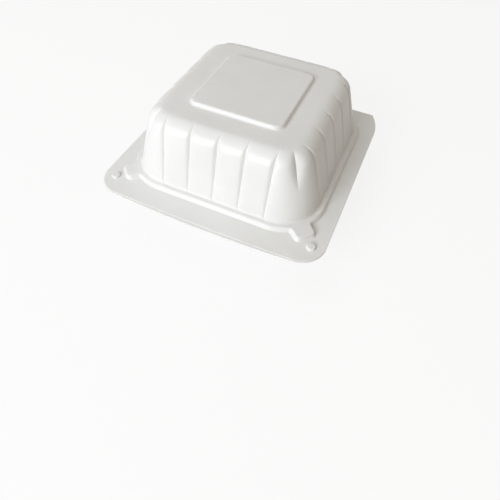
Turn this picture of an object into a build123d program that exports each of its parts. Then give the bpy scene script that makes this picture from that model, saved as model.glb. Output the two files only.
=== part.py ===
from build123d import *
import math
import os

# Hinged clamshell food container, closed, formed from one thin sheet of white plastic.
# Millimetres, +Z up. The origin is at the bottom centre, the latching front faces -Y
# and the living hinge runs along X at the +Y edge.

# Driving dimensions of the whole container
sheet = 0.5  # thickness of the formed sheet
flange_width = 150.0  # across the rim flange, along X
base_height = 32.0  # floor of the base to the plane where the flanges meet
lid_height = 44.0  # meeting plane to the top of the raised panel
nesting_gap = 0.3  # clearance between the nested beads and studs

# Flange outline
side_margin = 9.0  # flange's side edge to the foot of the bead
front_margin = 14.0  # middle of the lid's front edge to the foot of the bead
hinge_margin = 4.0  # foot of the bead to the hinge crease
thumb_lip = 2.0  # how far the base's front edge stands out past the lid's
front_bow = 1.5  # how far the middle of the lid's front edge stands out past its corners
front_corner_radius = 16.0
rear_corner_radius = 40.0
rear_corner_overrun = 18.0  # length of the rear corners cut away by the hinge crease

# Raised bead around the mouth, with a pad across each front corner
bead_width = 4.0  # foot of the bead's outer side to the foot of the wall
bead_rise = 3.0
bead_draft = 15.0
pad_length = 7.8  # how far a pad stands out past the bead's corner
pad_width = 15.0
pad_corner_radius = 4.0

# Round snap studs outside the pads
stud_gap = 5.0  # pad's outer edge to the middle of the stud
stud_radius = 2.8
stud_rise = 1.8

# Mouth shared by the lid's dome and the base's tray
mouth_corner_radius = 25.0

# Dome of the lid
dome_draft = 17.5
dome_shoulder_radius = 9.0

# Raised square panel on top of the dome
panel_margin = 18.3  # edge of the unrounded dome top to the foot of the panel
panel_corner_radius = 6.0
panel_rise = 2.0
panel_draft = 35.0

# Tray of the base
tray_draft = 18.0
tray_floor_radius = 8.0

# Rounding between a wall and its flat top or floor
bands_per_edge = 3

# Stiffening grooves down every wall and a short flute on every corner
grooves_per_wall = 5
groove_corner_gap = 2.8  # outermost groove to the start of the corner's rounding
groove_half_angle = 50.0
groove_mouth_depth = 0.5  # at the meeting plane
groove_shoulder_depth = 1.7  # at the far end of the wall
groove_side_margin = 1.0  # how far the cutter stands out of the wall
flute_depth = 2.4
flute_start = 0.45  # share of the wall's height where the corner flute runs out

# Living hinge, thinned to a crease between the two flanges
crease_thickness = 0.2
crease_half_width = 1.6


def side_inset(inset, draft):
    """Horizontal distance between two drafted walls a given distance apart."""
    return inset / math.cos(math.radians(draft))


def spread(height, draft):
    """Horizontal distance that a drafted wall covers over a height."""
    return height * math.tan(math.radians(draft))


# Sizes that follow from the ones above
bead_half = flange_width / 2 - side_margin
mouth_half = bead_half - bead_width
flange_depth = thumb_lip + front_margin + 2 * bead_half + hinge_margin
hinge_y = flange_depth / 2
mouth_center_y = hinge_y - hinge_margin - bead_half
dome_height = lid_height - panel_rise
panel_half = mouth_half - spread(dome_height, dome_draft) - panel_margin
corner_center = mouth_half - mouth_corner_radius
groove_pitch = 2 * (corner_center - groove_corner_gap) / (grooves_per_wall - 1)
bead_corner_radius = bead_half - corner_center
pad_root = corner_center * math.sqrt(2) + mouth_corner_radius / 4
pad_reach = corner_center * math.sqrt(2) + bead_corner_radius + pad_length
stud_reach = pad_reach + stud_gap


def square_form(inset, half, corner_radius, height, draft, edge_radius, overrun):
    """Tapered rounded square standing on the XY plane, shrunk by inset on its skin."""
    growth = spread(overrun, draft) - side_inset(inset, draft)
    rounding = max(edge_radius - inset, 0)
    bands = bands_per_edge if rounding else 0
    wall = height - inset + overrun - rounding * (1 - math.sin(math.radians(draft)))
    with BuildPart() as form:
        with BuildSketch(Plane.XY.offset(-overrun)):
            RectangleRounded(
                2 * (half + growth), 2 * (half + growth), corner_radius + growth
            )
        extrude(amount=wall, taper=draft)
        # The rounding turns from the wall to the flat top in a few tapered bands
        for band in range(bands):
            low = draft + (90 - draft) * band / bands
            high = draft + (90 - draft) * (band + 1) / bands
            rise = math.sin(math.radians(high)) - math.sin(math.radians(low))
            top = form.faces().sort_by(Axis.Z)[-1]
            extrude(top, amount=rounding * rise, taper=(low + high) / 2)
    return form.part


def bead_form(inset, overrun):
    """Bead plateau with its front corner pads, shrunk by inset on its skin."""
    growth = spread(overrun, bead_draft) - side_inset(inset, bead_draft)
    height = bead_rise - inset + overrun
    reach = pad_reach + growth
    with BuildPart() as form:
        with BuildSketch(Plane.XY.offset(-overrun)):
            RectangleRounded(
                2 * (bead_half + growth),
                2 * (bead_half + growth),
                bead_corner_radius + growth,
            )
        extrude(amount=height, taper=bead_draft)
        for side in (-135, -45):
            with BuildSketch(Plane.XY.offset(-overrun)):
                with Locations(Rot(0, 0, side) * Pos((pad_root + reach) / 2, 0)):
                    RectangleRounded(
                        reach - pad_root,
                        pad_width + 2 * growth,
                        pad_corner_radius + growth,
                    )
            extrude(amount=height, taper=bead_draft)
    return form.part


def stud_form(inset, overrun):
    """Round snap studs outside the two front pads, shrunk by inset on their skin."""
    with BuildPart() as form:
        for side in (-135, -45):
            with Locations(Rot(0, 0, side) * Pos(stud_reach, 0, -overrun)):
                Cylinder(
                    stud_radius - inset,
                    stud_rise - inset + overrun,
                    align=(Align.CENTER, Align.CENTER, Align.MIN),
                )
    return form.part


def groove_cutter(mouth_depth, shoulder_depth, shift, height, draft, start, end):
    """V prism that cuts the wall facing +X between two shares of its height."""
    lean = (spread(height, draft) + shoulder_depth - mouth_depth) / height
    length = shoulder_depth + groove_side_margin
    half_width = length * math.tan(math.radians(groove_half_angle))
    shrink = shift / math.sin(math.radians(groove_half_angle))
    apex = mouth_half - mouth_depth - shrink - lean * start * height
    with BuildPart() as cutter:
        with BuildSketch(Plane.XY.offset(start * height)):
            Polygon(
                (apex, 0),
                (apex + length, -half_width),
                (apex + length, half_width),
                align=None,
            )
        extrude(
            amount=(end - start) * height * math.hypot(1, lean), dir=(-lean, 0, 1)
        )
    return cutter.part


def grooved_form(inset, height, draft, edge_radius, overrun):
    """Tapered bowl over the mouth with grooved walls, shrunk by inset on its skin."""
    bowl = square_form(
        inset, mouth_half, mouth_corner_radius, height, draft, edge_radius, overrun
    )
    groove = groove_cutter(
        groove_mouth_depth, groove_shoulder_depth, inset, height, draft, 0, 1
    )
    # The corner flute is the same cut moved out to the corner's rounding
    corner_reach = corner_center * math.sqrt(2) + mouth_corner_radius - mouth_half
    shoulder_share = 1 - edge_radius / height
    flute = groove_cutter(
        -flute_depth * flute_start / (1 - flute_start),
        flute_depth,
        inset,
        height,
        draft,
        flute_start,
        shoulder_share,
    )
    middle = (grooves_per_wall - 1) / 2
    with BuildPart() as form:
        add(bowl)
        for quarter in range(4):
            for index in range(grooves_per_wall):
                with Locations(
                    Rot(0, 0, 90 * quarter) * Pos(0, (index - middle) * groove_pitch)
                ):
                    add(groove, mode=Mode.SUBTRACT)
            with Locations(Rot(0, 0, 90 * quarter + 45) * Pos(corner_reach, 0)):
                add(flute, mode=Mode.SUBTRACT)
    return form.part


def flange_plate(front, bow):
    """Rim flange standing on the meeting plane, with the hinge crease along its rear."""
    with BuildPart() as plate:
        with BuildSketch():
            with BuildLine():
                edge = ThreePointArc(
                    (-flange_width / 2, front + bow),
                    (0, front),
                    (flange_width / 2, front + bow),
                )
                Polyline(
                    edge @ 1,
                    (flange_width / 2, hinge_y + rear_corner_overrun),
                    (-flange_width / 2, hinge_y + rear_corner_overrun),
                    edge @ 0,
                )
            make_face()
            fillet(vertices().group_by(Axis.Y)[0], front_corner_radius)
            fillet(vertices().group_by(Axis.Y)[-1], rear_corner_radius)
            with Locations((0, hinge_y)):
                Rectangle(
                    flange_width,
                    rear_corner_overrun,
                    align=(Align.CENTER, Align.MIN),
                    mode=Mode.SUBTRACT,
                )
        extrude(amount=sheet)
        # Crease of the living hinge, cut from the outer skin down to a thin web
        with BuildSketch(Plane.YZ.offset(-flange_width / 2)):
            Polygon(
                (hinge_y, crease_thickness),
                (hinge_y, sheet),
                (hinge_y - crease_half_width, sheet),
                align=None,
            )
        extrude(amount=flange_width, mode=Mode.SUBTRACT)
    return plate.part


mouth = Pos(0, mouth_center_y, 0)

# Lid, one formed sheet: solid skin first, then everything inside it
lid_cavity = grooved_form(sheet, dome_height, dome_draft, dome_shoulder_radius, sheet)
lid_dome = grooved_form(0, dome_height, dome_draft, dome_shoulder_radius, 0)
panel = square_form(
    0, panel_half, panel_corner_radius, panel_rise, panel_draft, 0, sheet
)
panel_cavity = square_form(
    sheet, panel_half, panel_corner_radius, panel_rise, panel_draft, 0, 2 * sheet
)
with BuildPart() as lid:
    with Locations((0, 0, base_height)):
        add(flange_plate(thumb_lip - flange_depth / 2, front_bow))
    with Locations(Pos(0, 0, base_height) * mouth):
        add(bead_form(0, 0))
        add(stud_form(0, 0))
        add(lid_dome)
    with Locations(Pos(0, 0, base_height + dome_height) * mouth):
        add(panel)
    with Locations(Pos(0, 0, base_height) * mouth):
        add(bead_form(sheet, sheet), mode=Mode.SUBTRACT)
        add(stud_form(sheet, sheet), mode=Mode.SUBTRACT)
        add(lid_cavity, mode=Mode.SUBTRACT)
    with Locations(Pos(0, 0, base_height + dome_height) * mouth):
        add(panel_cavity, mode=Mode.SUBTRACT)

# Base, one formed sheet, with beads and studs that nest inside the lid's
nested = sheet + nesting_gap
bead_top = bead_rise - nested
tray = mirror(
    grooved_form(0, base_height, tray_draft, tray_floor_radius, bead_top),
    about=Plane.XY,
)
tray_cavity = mirror(
    grooved_form(sheet, base_height, tray_draft, tray_floor_radius, bead_rise),
    about=Plane.XY,
)
lower_flange = mirror(
    flange_plate(-flange_depth / 2, front_bow + thumb_lip), about=Plane.XY
)
with BuildPart() as base:
    with Locations((0, 0, base_height)):
        add(lower_flange)
    with Locations(Pos(0, 0, base_height) * mouth):
        add(bead_form(nested, 0))
        add(stud_form(nested, 0))
        add(bead_form(nested + sheet, sheet), mode=Mode.SUBTRACT)
        add(stud_form(nested + sheet, sheet), mode=Mode.SUBTRACT)
        add(tray)
        add(tray_cavity, mode=Mode.SUBTRACT)

lid.part.label = "lid"
base.part.label = "base"
os.makedirs("parts", exist_ok=True)
export_step(lid.part, "parts/lid.step")
export_step(base.part, "parts/base.step")
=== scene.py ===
import math
from types import SimpleNamespace

import bpy
import numpy as np
from mathutils import Matrix, Vector
from mathutils.geometry import tessellate_polygon


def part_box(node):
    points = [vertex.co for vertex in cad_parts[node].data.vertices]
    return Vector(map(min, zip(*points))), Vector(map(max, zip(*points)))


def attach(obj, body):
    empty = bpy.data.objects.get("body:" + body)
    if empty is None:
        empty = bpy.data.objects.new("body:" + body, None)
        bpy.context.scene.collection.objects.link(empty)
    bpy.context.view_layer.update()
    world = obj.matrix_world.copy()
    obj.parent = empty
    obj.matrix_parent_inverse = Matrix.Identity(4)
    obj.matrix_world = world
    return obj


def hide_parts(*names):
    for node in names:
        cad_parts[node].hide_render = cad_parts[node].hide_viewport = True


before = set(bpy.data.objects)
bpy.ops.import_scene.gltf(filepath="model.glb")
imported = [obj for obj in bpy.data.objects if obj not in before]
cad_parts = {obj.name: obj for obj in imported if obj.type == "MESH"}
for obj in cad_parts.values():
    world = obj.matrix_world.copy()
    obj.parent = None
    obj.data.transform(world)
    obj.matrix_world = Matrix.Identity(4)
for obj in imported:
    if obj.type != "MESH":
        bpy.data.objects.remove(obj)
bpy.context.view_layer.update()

MM = 0.001
TINY = 1e-9
lid_low, lid_high = (np.array(corner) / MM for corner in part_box("lid"))
base_low, base_high = (np.array(corner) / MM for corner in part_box("base"))

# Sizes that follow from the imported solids, in millimetres
FLANGE_W = round(lid_high[0] - lid_low[0], 1)
BASE_H = round(lid_low[2], 1)
LID_H = round(lid_high[2] - lid_low[2], 1)
HINGE_Y = round(lid_high[1], 1)
LIP = round(lid_low[1] - base_low[1], 1)
BASE_FRONT = round(base_low[1], 1)

# Sizes that repeat the solid model's own, in millimetres
SHEET = 0.5
GAP = 0.3
SIDE_MARGIN = 9.0
HINGE_MARGIN = 4.0
FRONT_BOW = 1.5
FRONT_R = 16.0
REAR_R = 40.0
REAR_OVERRUN = 18.0
BEAD_WIDTH = 4.0
BEAD_RISE = 3.0
PAD_LENGTH = 7.8
PAD_WIDTH = 15.0
PAD_R = 4.0
STUD_GAP = 5.0
STUD_R = 2.8
STUD_RISE = 1.8
MOUTH_R = 25.0
DOME_DRAFT = 17.5
PANEL_MARGIN = 18.3
PANEL_R = 6.0
PANEL_RISE = 2.0
PANEL_DRAFT = 35.0
TRAY_DRAFT = 18.0
TRAY_R = 8.0
GROOVES = 5
GROOVE_CORNER_GAP = 2.8
GROOVE_HALF_ANGLE = 50.0
GROOVE_MOUTH_DEPTH = 0.5
GROOVE_SHOULDER_DEPTH = 1.7
FLUTE_DEPTH = 2.4

# Softness of the formed sheet, in millimetres and degrees
WALL_DRAFT = 16.0  # the dome's walls swell past the solid's flat ones
SHOULDER_R = 10.5
BEAD_SLOPE = 30.0  # the bead's outer side leans more than the solid's
PANEL_TOP_R = 1.2
PANEL_FOOT_R = 1.4
STUD_EDGE_R = 0.6
STUD_LEAN = 0.25  # how much narrower a stud is at its top
OUTLINE_SOFTNESS = 0.8  # width of the rounding where a pad meets the bead
PILLOW = 0.4  # how far a wall panel swells between two grooves
CORNER_PULL = 1.5  # how much rounder the dome's top corners are than its mouth's
CORNER_PULL_WIDTH = 9.0
GROOVE_LIP = 0.26  # rounding of a groove's bottom and edges
GROOVE_FADE = 0.3  # depth below which a groove fades out
GROOVE_RUN_IN = 2.0  # length over which a groove starts above the bead
FLUTE_LIP = 0.6
FLUTE_FADE = 1.2
FLUTE_HALF_ANGLE = 62.0  # the corner flutes are wider and shallower than the grooves

# Roundings at the bead's top and foot and at the wall's foot, and the flats beside them
LID_SOFTNESS = SimpleNamespace(
    bead_top=1.3, bead_foot=0.9, bead_ledge=0.95, wall_foot=1.5, wall_ledge=1.3
)
BASE_SOFTNESS = SimpleNamespace(
    bead_top=0.9, bead_foot=0.7, bead_ledge=0.65, wall_foot=0.7, wall_ledge=0.6
)

# Places on the wall as parts of its height, and on its rounding as parts of the turn
FLUTE_START = 0.52
FLUTE_FULL = 0.88
PILLOW_FULL = 0.25
PILLOW_FADE = 0.2
CUT_END = 0.92

# Flat rings that keep the shading level next to a rounding, in millimetres
BEAD_APRON = 1.0
STUD_APRON = 0.75
WALL_APRON = 0.6
PANEL_APRON = 2.0
RIM_APRON = 0.15
STUD_MIDDLE = 0.3

# Fineness of the meshes, in degrees for the turns and millimetres for the lengths
BEAD_TURN = 12.0
STUD_TURN = 15.0
WALL_TURN = 6.0
PANEL_TURN = 8.0
OUTLINE_TURN = 6.0
OUTLINE_RUN = 3.2
OUTLINE_STEP = 0.2
REAR_CORNER_TURN = 2.5
FRONT_EDGE_STEPS = 14
STUD_SIDES = 32
STUD_SIDE_TURN = 10.8984375  # the last side is wider than the others
RIM_RINGS = 8
WALL_ROWS = 20
COLUMN_STEPS = np.array([0, 0.12, 0.3, 0.5, 0.75, 1, 1.3, 1.65, 2.05, 2.5, 3.1, 4, 5.4, 7, 8.5])
COLUMN_GAP = 0.09  # columns closer than this are merged
SIDE_END_GAP = 0.3
FLUTE_REACH = 4.5  # half the width that takes fine columns at a corner
FLUTE_COLUMN_R = 16.0  # radius at which those columns have their spacing
PLAIN_COLUMNS = 19
PLAIN_FROM_FLUTE = 16.5  # angle that plain columns keep from the corner's middle
LEAST_MITRE = 0.5  # keeps an offset short at a sharp corner
HOLE_BOW = 0.005  # share by which a hole's outline is spread while it is filled round

# Studio
FLOOR_SIZE = 6.0
FLOOR_DROP = 0.0002  # keeps the floor's face clear of the container's foot
FLOOR_GLOW = 0.85  # share of the floor's look that is plain white
PHOTO_PIXELS = 500

# Sizes worked out from the ones above
BEAD = FLANGE_W / 2 - SIDE_MARGIN
MOUTH = BEAD - BEAD_WIDTH
MOUTH_Y = HINGE_Y - HINGE_MARGIN - BEAD
CORNER = MOUTH - MOUTH_R
DOME_H = LID_H - PANEL_RISE
PITCH = 2 * (CORNER - GROOVE_CORNER_GAP) / (GROOVES - 1)
DIAGONAL = CORNER * math.sqrt(2)
PAD_REACH = DIAGONAL + BEAD - CORNER + PAD_LENGTH
STUD_REACH = PAD_REACH + STUD_GAP


def sin(degrees):
    return math.sin(math.radians(degrees))


def cos(degrees):
    return math.cos(math.radians(degrees))


def tan(degrees):
    return math.tan(math.radians(degrees))


PANEL = MOUTH - DOME_H * tan(DOME_DRAFT) - PANEL_MARGIN


def smooth(x):
    """Runs from 0 to 1 with a level start and end."""
    x = np.clip(x, 0, 1)
    return x * x * (3 - 2 * x)


def soft_ramp(x, width):
    """Zero below 0 and x above it, with the bend rounded over about the given width."""
    x = np.asarray(x, float) / width
    straight_from = 20
    bend = np.log1p(np.exp(np.minimum(x, straight_from)))
    return width * np.where(x > straight_from, x, bend)


def arc(center, radius, start, end, step=6.0):
    """Points on a circle from one angle in degrees to another."""
    count = max(2, int(abs(end - start) / step) + 2)
    angle = np.radians(np.linspace(start, end, count))
    return np.asarray(center) + radius * np.stack([np.cos(angle), np.sin(angle)], 1)


def rounded_profile(points, radii, step):
    """Open polyline with its inner corners rounded, as an (n, 2) array."""
    out = [np.array(points[0], float)]
    for before, corner, after, radius in zip(points, points[1:], points[2:], radii):
        corner = np.array(corner, float)
        a = np.array(before, float) - corner
        b = np.array(after, float) - corner
        a /= np.linalg.norm(a)
        b /= np.linalg.norm(b)
        inside = math.acos(np.clip(a @ b, -1, 1))
        turn = math.pi - inside
        center = corner + (a + b) / np.linalg.norm(a + b) * radius / math.sin(inside / 2)
        start = corner + a * radius / math.tan(inside / 2) - center
        end = corner + b * radius / math.tan(inside / 2) - center
        side = np.sign(start[0] * end[1] - start[1] * end[0])
        steps = max(3, int(math.degrees(turn) / step) + 1)
        for t in side * turn * np.arange(steps + 1) / steps:
            c, s = math.cos(t), math.sin(t)
            out.append(center + (c * start[0] - s * start[1], s * start[0] + c * start[1]))
    out.append(np.array(points[-1], float))
    return np.array(out)


def resample(loop, step):
    """Closed loop of points at an even spacing close to step."""
    closed = np.vstack([loop, loop[:1]])
    length = np.concatenate([[0], np.cumsum(np.linalg.norm(np.diff(closed, axis=0), axis=1))])
    count = max(8, int(round(length[-1] / step)))
    at = np.arange(count) * length[-1] / count
    return np.stack([np.interp(at, length, closed[:, k]) for k in (0, 1)], 1)


def soften(loop, width, step):
    """Rounds the corners of a closed loop by a short running average."""
    widths_each_way = 4
    reach = int(widths_each_way * width / step)
    weight = np.exp(-0.5 * (np.arange(-reach, reach + 1) * step / width) ** 2)
    weight /= weight.sum()
    return sum(w * np.roll(loop, k, axis=0) for w, k in zip(weight, range(-reach, reach + 1)))


def outward(loop):
    """Outward normals of a closed loop that runs anticlockwise."""
    ahead = np.roll(loop, -1, axis=0) - np.roll(loop, 1, axis=0)
    ahead /= np.linalg.norm(ahead, axis=1)[:, None]
    return np.stack([ahead[:, 1], -ahead[:, 0]], 1)


def mitred(loop):
    """Outward offset directions of a closed loop, longer at its corners."""
    sides = np.roll(loop, -1, axis=0) - loop
    sides /= np.linalg.norm(sides, axis=1)[:, None]
    after = np.stack([sides[:, 1], -sides[:, 0]], 1)
    before = np.roll(after, 1, axis=0)
    middle = before + after
    middle /= np.linalg.norm(middle, axis=1)[:, None]
    return middle / np.maximum((middle * before).sum(1), LEAST_MITRE)[:, None]


def thinned(loop, most_turn, most_run):
    """Loop and normals with fewer points where the loop runs nearly straight."""
    normals = outward(loop)
    keep = [0]
    turn = run = 0.0
    for i in range(1, len(loop)):
        turn += math.degrees(math.acos(np.clip(normals[i] @ normals[i - 1], -1, 1)))
        run += np.linalg.norm(loop[i] - loop[i - 1])
        if turn >= most_turn or run >= most_run:
            keep.append(i)
            turn = run = 0.0
    return loop[keep], normals[keep]


def softened_outline(points):
    """Closed outline with soft corners, and its normals."""
    dense = soften(resample(points, OUTLINE_STEP), OUTLINE_SOFTNESS, OUTLINE_STEP)
    return thinned(resample(dense, OUTLINE_STEP), OUTLINE_TURN, OUTLINE_RUN)


def rounded_square(half, radius):
    """Anticlockwise rounded square about the origin."""
    center = half - radius
    corners = []
    for quarter in range(4):
        middle = center * math.sqrt(2) * np.array([cos(90 * quarter + 45), sin(90 * quarter + 45)])
        corners.append(arc(middle, radius, 90 * quarter, 90 * quarter + 90))
    return np.vstack(corners)


def bead_outline(half):
    """Outline of the bead's foot, with a pad across each of its two front corners."""
    growth = half - BEAD
    radius = half - CORNER
    reach = PAD_REACH + growth
    wide = PAD_WIDTH / 2 + growth
    corner = PAD_R + growth
    hidden = math.degrees(math.asin(wide / radius))
    pad = np.vstack(
        [
            arc((reach - corner, corner - wide), corner, -90, 0),
            arc((reach - corner, wide - corner), corner, 0, 90),
        ]
    )
    points = []
    for middle in (45, 135, 225, 315):
        turn = np.array([[cos(middle), sin(middle)], [-sin(middle), cos(middle)]])
        center = np.array([DIAGONAL, 0.0]) @ turn
        if middle < 180:
            points.append(arc(center, radius, middle - 45, middle + 45))
        else:
            points.append(arc(center, radius, middle - 45, middle - hidden))
            points.append(pad @ turn)
            points.append(arc(center, radius, middle + hidden, middle + 45))
    return softened_outline(np.vstack(points))


def flange_outline(front, bow):
    """Outline of the flange about the mouth's centre, and which points lie on the crease."""
    half = FLANGE_W / 2
    crease = HINGE_Y - MOUTH_Y
    rear_center = crease + REAR_OVERRUN - REAR_R
    cut = math.degrees(math.asin((crease - rear_center) / REAR_R))
    right_rear = arc((half - REAR_R, rear_center), REAR_R, 0, cut, REAR_CORNER_TURN)
    # The front edge is a shallow arc, and each front corner's arc runs on from it
    bow_r = (half**2 + bow**2) / (2 * bow)
    bow_center = front - MOUTH_Y + bow_r
    corner_x = half - FRONT_R
    corner_y = bow_center - math.sqrt((bow_r - FRONT_R) ** 2 - corner_x**2)
    swing = math.degrees(math.asin(corner_x / (bow_r - FRONT_R)))
    right_front = arc((corner_x, corner_y), FRONT_R, swing - 90, 0)
    front_step = swing / FRONT_EDGE_STEPS
    front_edge = arc((0, bow_center), bow_r, -90 - swing, -90 + swing, front_step)
    points = np.vstack(
        [
            right_rear,
            right_rear[::-1] * (-1, 1),
            right_front[::-1] * (-1, 1),
            front_edge[1:-1],
            right_front,
        ]
    )
    return points, np.abs(points[:, 1] - crease) < TINY


def wall_columns():
    """Points round the mouth as (quarter, place along the side, None) or (quarter, None, angle)."""
    across = np.concatenate([-COLUMN_STEPS[:0:-1], COLUMN_STEPS])
    middle = (GROOVES - 1) / 2
    side = np.concatenate([(k - middle) * PITCH + across for k in range(GROOVES)])
    side = np.sort(side[np.abs(side) < CORNER - SIDE_END_GAP])
    side = side[np.concatenate([[True], np.diff(side) > COLUMN_GAP])]
    flute = np.degrees(across[np.abs(across) < FLUTE_REACH] / FLUTE_COLUMN_R) + 45
    plain = np.linspace(0, 90, PLAIN_COLUMNS)
    angles = np.sort(np.concatenate([flute, plain[np.abs(plain - 45) > PLAIN_FROM_FLUTE]]))
    columns = []
    for quarter in range(4):
        columns += [(quarter, place, None) for place in side]
        columns += [(quarter, None, angle) for angle in angles]
    return columns


def groove_cut(place, groove, swell):
    """Depth of the cut at a place along a side, less where the wall swells between grooves."""
    outermost = GROOVES // 2
    nearest = np.clip(round(place / PITCH), -outermost, outermost)
    across = abs(place - nearest * PITCH)
    depth = groove - across / tan(GROOVE_HALF_ANGLE)
    cut = soft_ramp(depth, GROOVE_LIP) * smooth(groove / GROOVE_FADE)
    if abs(place) < PITCH * outermost:
        between = min(across / PITCH, 0.5)
        cut = cut - swell * 4 * between * (1 - between)
    return cut


def wall_grid(profile, away, share, groove, flute, swell):
    """Rows of the wall all round the mouth, one for each point of the profile.

    away is each point's direction out of the container, share its part of the wall's
    height, and groove and flute how deep the cuts are there.
    """
    columns = wall_columns()
    reach, height = profile.T
    grid = np.zeros((len(reach), len(columns), 3))
    radius = reach - CORNER
    for j, (quarter, place, angle) in enumerate(columns):
        if angle is None:
            cut = groove_cut(place, groove, swell)
            from_diagonal = CORNER - abs(place) + radius * math.pi / 4
            x, y, nx, ny = reach, np.full_like(reach, place), 1.0, 0.0
        else:
            from_diagonal = radius * abs(math.radians(angle - 45))
            depth = flute - from_diagonal / tan(FLUTE_HALF_ANGLE)
            cut = soft_ramp(depth, FLUTE_LIP) * smooth(flute / FLUTE_FADE)
            nx, ny = cos(angle), sin(angle)
            x = CORNER + radius * nx
            y = CORNER + radius * ny
        pull = CORNER_PULL * np.exp(-((from_diagonal / CORNER_PULL_WIDTH) ** 2)) * smooth(share)
        inward = cut * away[:, 0] + pull
        x = x - inward * nx
        y = y - inward * ny
        grid[:, j, 0] = cos(90 * quarter) * x - sin(90 * quarter) * y
        grid[:, j, 1] = sin(90 * quarter) * x + cos(90 * quarter) * y
        grid[:, j, 2] = height - cut * away[:, 1]
    return grid


class Skin:
    """One skin of a formed sheet, gathered piece by piece."""

    def __init__(self):
        self.points = []
        self.faces = []
        self.count = 0

    def add(self, points):
        """Adds points and returns their indices."""
        first = self.count
        self.points.append(np.asarray(points, float))
        self.count += len(points)
        return list(range(first, self.count))

    def rings(self, grid, inward=True):
        """Joins rows of closed loops by quads. inward says that the rows step to the centre."""
        rows = [self.add(row) for row in grid]
        for outer, inner in zip(rows, rows[1:]):
            for j in range(len(outer)):
                k = (j + 1) % len(outer)
                quad = (outer[j], outer[k], inner[k], inner[j])
                self.faces.append(quad if inward else quad[::-1])
        return rows

    def strip(self, loop, normals, profile):
        """Rings that carry a profile of (offset, height) round a closed outline."""
        grid = [np.column_stack([loop + d * normals, np.full(len(loop), z)]) for d, z in profile]
        return self.rings(np.stack(grid), inward=False)

    def fill(self, outer, holes):
        """Level area between one outer loop and its holes, all given by indices.

        The holes' straight sides are bowed a hair, so that no triangle lies along one.
        """
        every = np.vstack(self.points)[:, :2]
        loops = [every[outer]]
        for hole in holes:
            reach = (every[hole] ** 2).sum(1) / FLANGE_W**2
            loops.append(every[hole] * (1 + HOLE_BOW * (1 - reach))[:, None])
        flat = [i for loop in (outer, *holes) for i in loop]
        for triangle in tessellate_polygon([[Vector((x, y, 0)) for x, y in p] for p in loops]):
            i, j, k = (flat[t] for t in triangle)
            a, b, c = every[i], every[j], every[k]
            area = (b[0] - a[0]) * (c[1] - a[1]) - (b[1] - a[1]) * (c[0] - a[0])
            self.faces.append((i, j, k) if area > 0 else (i, k, j))

    def bridge(self, outer, inner):
        """Level area between two nested loops, joined in the order of their angles."""
        every = np.vstack(self.points)
        turned = []
        for loop in (outer, inner):
            angle = np.arctan2(every[loop][:, 1], every[loop][:, 0])
            first = int(np.argmin(angle))
            angle = np.append(np.roll(angle, -first), angle[first] + 2 * math.pi)
            turned.append((loop[first:] + loop[: first + 1], angle))
        (outer, outer_angle), (inner, inner_angle) = turned
        i = j = 0
        while i + 1 < len(outer) or j + 1 < len(inner):
            inner_done = j + 1 == len(inner)
            outer_left = i + 1 < len(outer)
            if inner_done or (outer_left and outer_angle[i + 1] < inner_angle[j + 1]):
                self.faces.append((outer[i], outer[i + 1], inner[j]))
                i += 1
            else:
                self.faces.append((outer[i], inner[j + 1], inner[j]))
                j += 1

    def cap(self, loop):
        """Level area inside one loop, fanned out from its middle."""
        middle = self.add([np.vstack(self.points)[loop].mean(0)])[0]
        for i, j in zip(loop, loop[1:] + loop[:1]):
            self.faces.append((i, j, middle))

    def normals(self):
        """Normals of the vertices, each face weighing by the square root of its area."""
        points = np.vstack(self.points)
        out = np.zeros_like(points)
        for size in (3, 4):
            faces = np.array([f for f in self.faces if len(f) == size])
            first, last = points[faces[:, -1]], points[faces[:, 1]]
            normal = np.cross(points[faces[:, 2]] - points[faces[:, 0]], first - last)
            weight = np.sqrt(np.linalg.norm(normal, axis=1))
            normal /= np.maximum(weight, TINY)[:, None]
            for corner in faces.T:
                np.add.at(out, corner, normal)
        return out / np.maximum(np.linalg.norm(out, axis=1), TINY)[:, None]


def stud_rings(skin, inset, level):
    """Both snap studs. Returns the loops where they meet the flange."""
    radius = STUD_R - inset
    top = STUD_RISE - inset
    profile = rounded_profile(
        [
            (STUD_MIDDLE, top),
            (radius - STUD_LEAN, top),
            (radius, level),
            (radius + STUD_APRON, level),
        ],
        [STUD_EDGE_R, STUD_EDGE_R],
        STUD_TURN,
    )
    angles = np.radians(np.arange(STUD_SIDES) * STUD_SIDE_TURN)
    ring = np.stack([np.cos(angles), np.sin(angles)], 1)
    feet = []
    for side in (225, 315):
        center = STUD_REACH * np.array([cos(side), sin(side)])
        grid = [np.column_stack([center + r * ring, np.full(len(ring), z)]) for r, z in profile]
        rows = skin.rings(np.stack(grid), inward=False)
        skin.cap(rows[0])
        feet.append(rows[-1])
    return feet


def flange_skin(skin, outline, crease, bead_top, level, inset, softness):
    """Bead, studs and flange. Returns the flange's rim and the bead's inner loop."""
    loop, normals = bead_outline(BEAD - inset / cos(BEAD_SLOPE))
    run = bead_top * tan(BEAD_SLOPE)
    foot = level * tan(BEAD_SLOPE)
    profile = rounded_profile(
        [
            (-run - softness.bead_ledge, bead_top),
            (-run, bead_top),
            (-foot, level),
            (-foot + BEAD_APRON, level),
        ],
        [softness.bead_top, softness.bead_foot],
        BEAD_TURN,
    )
    rows = skin.strip(loop, normals, profile)
    feet = stud_rings(skin, inset, level)
    # The rim's last ring lies a little inside the rounding of the sheet's edge
    edge = np.where(crease, SHEET, SHEET / 2) + RIM_APRON
    rim = outline - edge[:, None] * mitred(outline)
    rim = skin.add(np.column_stack([rim, np.full(len(rim), level)]))
    skin.fill(rim, [rows[-1], *feet])
    return rim, rows[0]


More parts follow.
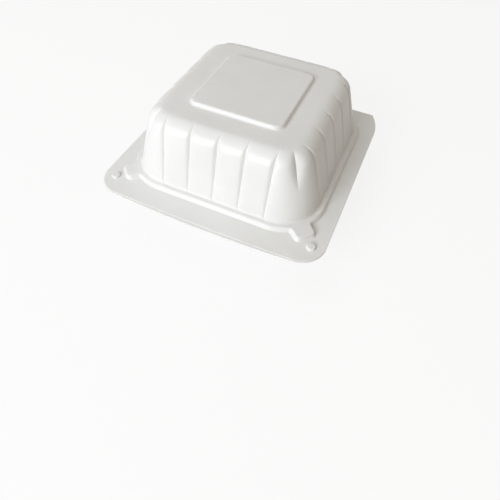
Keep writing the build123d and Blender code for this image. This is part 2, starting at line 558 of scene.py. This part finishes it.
def wall_shape(upper):
    """Draft, end rounding, height, reach at the flange and direction of one half's walls."""
    if upper:
        return WALL_DRAFT, SHOULDER_R, DOME_H, MOUTH, 1
    inner_mouth = MOUTH - SHEET / cos(TRAY_DRAFT)
    return TRAY_DRAFT, TRAY_R - SHEET, BASE_H - SHEET, inner_mouth, -1


def wall_profile(shape, bead_top, softness):
    """Points of (reach, height) from the bead's top down or up the wall and onto its flat end."""
    draft, radius, height, start, direction = shape
    foot = start - direction * bead_top * tan(draft)
    end = start - height * tan(draft)
    flat = end - radius * tan((90 - draft) / 2)
    level = direction * height
    profile = rounded_profile(
        [
            (foot + softness.wall_ledge, bead_top),
            (foot, bead_top),
            (end, level),
            (flat - WALL_APRON, level),
        ],
        [softness.wall_foot, radius],
        WALL_TURN,
    )
    longest = int(np.argmax(np.linalg.norm(np.diff(profile, axis=0), axis=1)))
    between = np.linspace(profile[longest], profile[longest + 1], WALL_ROWS)[1:-1]
    return np.insert(profile, longest + 1, between, axis=0)


def wall_skin(skin, upper, bead_top, softness):
    """Grooved walls and their rounding. Returns the wall's first and last loops."""
    shape = wall_shape(upper)
    draft, _, height, _, direction = shape
    profile = wall_profile(shape, bead_top, softness)
    along = np.gradient(profile, axis=0)
    along /= np.linalg.norm(along, axis=1)[:, None]
    away = direction * np.stack([along[:, 1], -along[:, 0]], 1)
    # Cuts deepen along the wall and run out over the rounding in its far half
    share = np.clip(direction * profile[:, 1] / height, 0, 1)
    turned = np.degrees(np.arctan2(direction * away[:, 1], away[:, 0]))
    rounding = np.clip((turned - draft) / (90 - draft), 0, 1) * (share > 0.5)
    run_out = 1 - smooth(rounding / CUT_END)
    past_bead = direction * profile[:, 1] - max(direction * bead_top, 0)
    run_in = smooth(past_bead / GROOVE_RUN_IN)
    deepening = GROOVE_SHOULDER_DEPTH - GROOVE_MOUTH_DEPTH
    groove = (GROOVE_MOUTH_DEPTH + deepening * share) * cos(draft) * run_out * run_in
    flute = FLUTE_DEPTH * np.clip((share - FLUTE_START) / (FLUTE_FULL - FLUTE_START), 0, 1)
    flute = flute * np.sqrt(run_out)
    swell = PILLOW * smooth(share / PILLOW_FULL) * smooth((1 - share) / PILLOW_FADE)
    rows = skin.rings(wall_grid(profile, away, share, groove, flute, swell))
    return rows[0], rows[-1]


def panel_skin(skin):
    """Raised square panel on the dome. Returns its outer loop."""
    loop, normals = softened_outline(rounded_square(PANEL, PANEL_R))
    run = PANEL_RISE * tan(PANEL_DRAFT)
    top = DOME_H + PANEL_RISE
    profile = rounded_profile(
        [(-run - PANEL_APRON, top), (-run, top), (0, DOME_H), (PANEL_APRON, DOME_H)],
        [PANEL_TOP_R, PANEL_FOOT_R],
        PANEL_TURN,
    )
    rows = skin.strip(loop, normals, profile)
    skin.cap(rows[0])
    return rows[-1]


def closed_sheet(skin, rim, outline, crease, level, upper):
    """Points and faces of the whole sheet: the skin, its twin below and the rounded rim."""
    top = np.vstack(skin.points)
    under = top - SHEET * skin.normals()
    count = len(top)
    points = [top, under]
    faces = list(skin.faces) + [tuple(i + count for i in reversed(f)) for f in skin.faces]
    directions = mitred(outline)
    middle = level - SHEET / 2
    rings = [rim]
    for turn in np.linspace(0, 180, RIM_RINGS):
        plain = (-SHEET / 2 + SHEET / 2 * sin(turn), middle + SHEET / 2 * cos(turn))
        # At the crease only the outer skin is rounded, down to the hinge line
        if upper:
            fold = (-SHEET + SHEET * sin(turn / 2), level - SHEET + SHEET * cos(turn / 2))
        else:
            fold = (-SHEET + SHEET * cos(turn / 2), level - SHEET * sin(turn / 2))
        offset = np.where(crease, fold[0], plain[0])
        height = np.where(crease, fold[1], plain[1])
        points.append(np.column_stack([outline + offset[:, None] * directions, height]))
        start = 2 * count + (len(rings) - 1) * len(outline)
        rings.append(list(range(start, start + len(outline))))
    rings.append([i + count for i in rim])
    for high, low in zip(rings, rings[1:]):
        for j in range(len(outline)):
            k = (j + 1) % len(outline)
            faces.append((high[j], low[j], low[k], high[k]))
    return np.vstack(points), faces


def build_half(node, upper, material):
    """Visual piece that stands for one packed half of the container."""
    skin = Skin()
    level = SHEET if upper else 0.0
    inset = 0.0 if upper else SHEET + GAP
    front = BASE_FRONT + LIP if upper else BASE_FRONT
    bow = FRONT_BOW if upper else FRONT_BOW + LIP
    bead_top = BEAD_RISE - inset
    softness = LID_SOFTNESS if upper else BASE_SOFTNESS
    outline, crease = flange_outline(front, bow)
    rim, bead_loop = flange_skin(skin, outline, crease, bead_top, level, inset, softness)
    wall_start, wall_end = wall_skin(skin, upper, bead_top, softness)
    skin.bridge(bead_loop, wall_start)
    if upper:
        skin.bridge(wall_end, panel_skin(skin))
    else:
        skin.cap(wall_end)
    points, faces = closed_sheet(skin, rim, outline, crease, level, upper)
    points += (0, MOUTH_Y, BASE_H)
    mesh = bpy.data.meshes.new(node + "_sheet")
    mesh.from_pydata((points * MM).tolist(), [], faces)
    mesh.shade_smooth()
    mesh.materials.append(material)
    piece = bpy.data.objects.new(node + "_sheet", mesh)
    bpy.context.scene.collection.objects.link(piece)
    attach(piece, node)
    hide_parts(node)


def noise_node(nodes, links, place, scale, detail):
    """Noise texture in the object's own metres."""
    node = nodes.new("ShaderNodeTexNoise")
    node.inputs["Scale"].default_value = scale
    node.inputs["Detail"].default_value = detail
    links.new(place.outputs["Object"], node.inputs["Vector"])
    return node


def bump_node(nodes, links, height, distance, strength, below=None):
    """Bump of a height in metres, laid over another bump where one is given."""
    node = nodes.new("ShaderNodeBump")
    node.inputs["Strength"].default_value = strength
    node.inputs["Distance"].default_value = distance
    links.new(height.outputs["Fac"], node.inputs["Height"])
    if below:
        links.new(below.outputs["Normal"], node.inputs["Normal"])
    return node


def sheet_material():
    """Satin white filled plastic, faintly cloudy, with the fine grain and waves of forming."""
    material = bpy.data.materials.new("filled_white_sheet")
    material.use_nodes = True
    nodes, links = material.node_tree.nodes, material.node_tree.links
    shader = nodes["Principled BSDF"]
    place = nodes.new("ShaderNodeTexCoord")

    cloud = noise_node(nodes, links, place, scale=38.0, detail=3.0)
    tone = nodes.new("ShaderNodeValToRGB")
    tone.color_ramp.elements[0].position = 0.3
    tone.color_ramp.elements[0].color = (0.765, 0.762, 0.742, 1)
    tone.color_ramp.elements[1].position = 0.7
    tone.color_ramp.elements[1].color = (0.800, 0.798, 0.782, 1)
    links.new(cloud.outputs["Fac"], tone.inputs["Fac"])
    links.new(tone.outputs["Color"], shader.inputs["Base Color"])

    grain = noise_node(nodes, links, place, scale=900.0, detail=2.0)
    roughness = nodes.new("ShaderNodeMapRange")
    roughness.inputs["To Min"].default_value = 0.34
    roughness.inputs["To Max"].default_value = 0.50
    links.new(grain.outputs["Fac"], roughness.inputs["Value"])
    links.new(roughness.outputs["Result"], shader.inputs["Roughness"])

    wave = noise_node(nodes, links, place, scale=60.0, detail=2.0)
    waves = bump_node(nodes, links, wave, distance=0.0007, strength=0.25)
    grains = bump_node(nodes, links, grain, distance=0.00005, strength=0.12, below=waves)
    links.new(grains.outputs["Normal"], shader.inputs["Normal"])

    shader.inputs["Subsurface Weight"].default_value = 0.12
    shader.inputs["Subsurface Radius"].default_value = (0.0012, 0.0011, 0.001)
    shader.inputs["Subsurface Scale"].default_value = 1.0
    return material


def seen_directly(nodes, links, most):
    """Value that is the given one for camera, glossy and transmission rays, and 0 for others."""
    path = nodes.new("ShaderNodeLightPath")
    total = path.outputs["Is Camera Ray"]
    for name in ("Is Glossy Ray", "Is Transmission Ray"):
        largest = nodes.new("ShaderNodeMath")
        largest.operation = "MAXIMUM"
        links.new(total, largest.inputs[0])
        links.new(path.outputs[name], largest.inputs[1])
        total = largest.outputs[0]
    scaled = nodes.new("ShaderNodeMath")
    scaled.operation = "MULTIPLY"
    links.new(total, scaled.inputs[0])
    scaled.inputs[1].default_value = most
    return scaled.outputs[0]


def white_floor():
    """Pale floor that looks white and still takes a soft shadow."""
    bpy.ops.mesh.primitive_plane_add(size=FLOOR_SIZE, location=(0, 0, -FLOOR_DROP))
    floor = bpy.context.object
    floor.name = "floor"
    material = bpy.data.materials.new("plain_floor")
    material.use_nodes = True
    nodes, links = material.node_tree.nodes, material.node_tree.links
    shader = nodes["Principled BSDF"]
    shader.inputs["Base Color"].default_value = (0.86, 0.86, 0.86, 1)
    shader.inputs["Roughness"].default_value = 0.9
    shader.inputs["Specular IOR Level"].default_value = 0.1
    glow = nodes.new("ShaderNodeEmission")
    mix = nodes.new("ShaderNodeMixShader")
    links.new(seen_directly(nodes, links, FLOOR_GLOW), mix.inputs["Fac"])
    links.new(shader.outputs["BSDF"], mix.inputs[1])
    links.new(glow.outputs["Emission"], mix.inputs[2])
    links.new(mix.outputs["Shader"], nodes["Material Output"].inputs["Surface"])
    floor.data.materials.append(material)


def studio_world():
    """Even pale surroundings, white where they are seen."""
    world = bpy.data.worlds.new("studio")
    bpy.context.scene.world = world
    world.use_nodes = True
    nodes, links = world.node_tree.nodes, world.node_tree.links
    light = nodes["Background"]
    light.inputs["Color"].default_value = (1.0, 0.87, 0.70, 1)
    light.inputs["Strength"].default_value = 0.33
    seen = nodes.new("ShaderNodeBackground")
    seen.inputs["Color"].default_value = (1, 1, 1, 1)
    mix = nodes.new("ShaderNodeMixShader")
    links.new(seen_directly(nodes, links, 1.0), mix.inputs["Fac"])
    links.new(light.outputs["Background"], mix.inputs[1])
    links.new(seen.outputs["Background"], mix.inputs[2])
    links.new(mix.outputs["Shader"], nodes["World Output"].inputs["Surface"])


def area_lamp(name, place, size, watts, colour):
    """Soft rectangular lamp aimed at the middle of the container, placed in metres."""
    data = bpy.data.lights.new(name, "AREA")
    data.shape = "RECTANGLE"
    data.size, data.size_y = size
    data.energy = watts
    data.color = colour
    lamp = bpy.data.objects.new(name, data)
    bpy.context.scene.collection.objects.link(lamp)
    lamp.location = place
    aim = Vector((0, 0, BASE_H * MM)) - Vector(place)
    lamp.rotation_euler = aim.to_track_quat("-Z", "Y").to_euler()


def photo_camera(azimuth, elevation, roll, focal, across, above, distance):
    """Camera at the photograph's angle.

    focal is in pixels of the photograph's frame. across, above and distance place the middle
    of the mouth as the camera sees it, in millimetres.
    """
    back = np.array(
        [sin(azimuth) * cos(elevation), -cos(azimuth) * cos(elevation), sin(elevation)]
    )
    level_right = np.array([cos(azimuth), sin(azimuth), 0.0])
    level_up = np.cross(back, level_right)
    right = cos(roll) * level_right + sin(roll) * level_up
    up = cos(roll) * level_up - sin(roll) * level_right
    place = distance * back - across * right - above * up + np.array([0.0, MOUTH_Y, BASE_H])
    data = bpy.data.cameras.new("camera")
    data.sensor_width = 36.0
    data.lens = data.sensor_width * focal / PHOTO_PIXELS
    data.clip_start = 0.01
    data.clip_end = 20.0
    camera = bpy.data.objects.new("camera", data)
    bpy.context.scene.collection.objects.link(camera)
    turn = Matrix((right.tolist(), up.tolist(), back.tolist())).transposed()
    camera.matrix_world = Matrix.Translation(Vector((place * MM).tolist())) @ turn.to_4x4()
    bpy.context.scene.camera = camera


white = sheet_material()
build_half("lid", True, white)
build_half("base", False, white)

white_floor()
studio_world()
area_lamp(
    "key", place=(-0.305, -0.976, 0.558), size=(0.6, 0.5), watts=9.6, colour=(0.95, 1.0, 1.06)
)
area_lamp("top", place=(-0.45, 0.1, 1.2), size=(0.9, 0.9), watts=3.2, colour=(0.92, 1.0, 1.12))
photo_camera(
    azimuth=22.34,
    elevation=55.31,
    roll=2.40,
    focal=383.9,
    across=1.69,
    above=74.13,
    distance=269.6,
)
bpy.context.scene.view_settings.view_transform = "Standard"
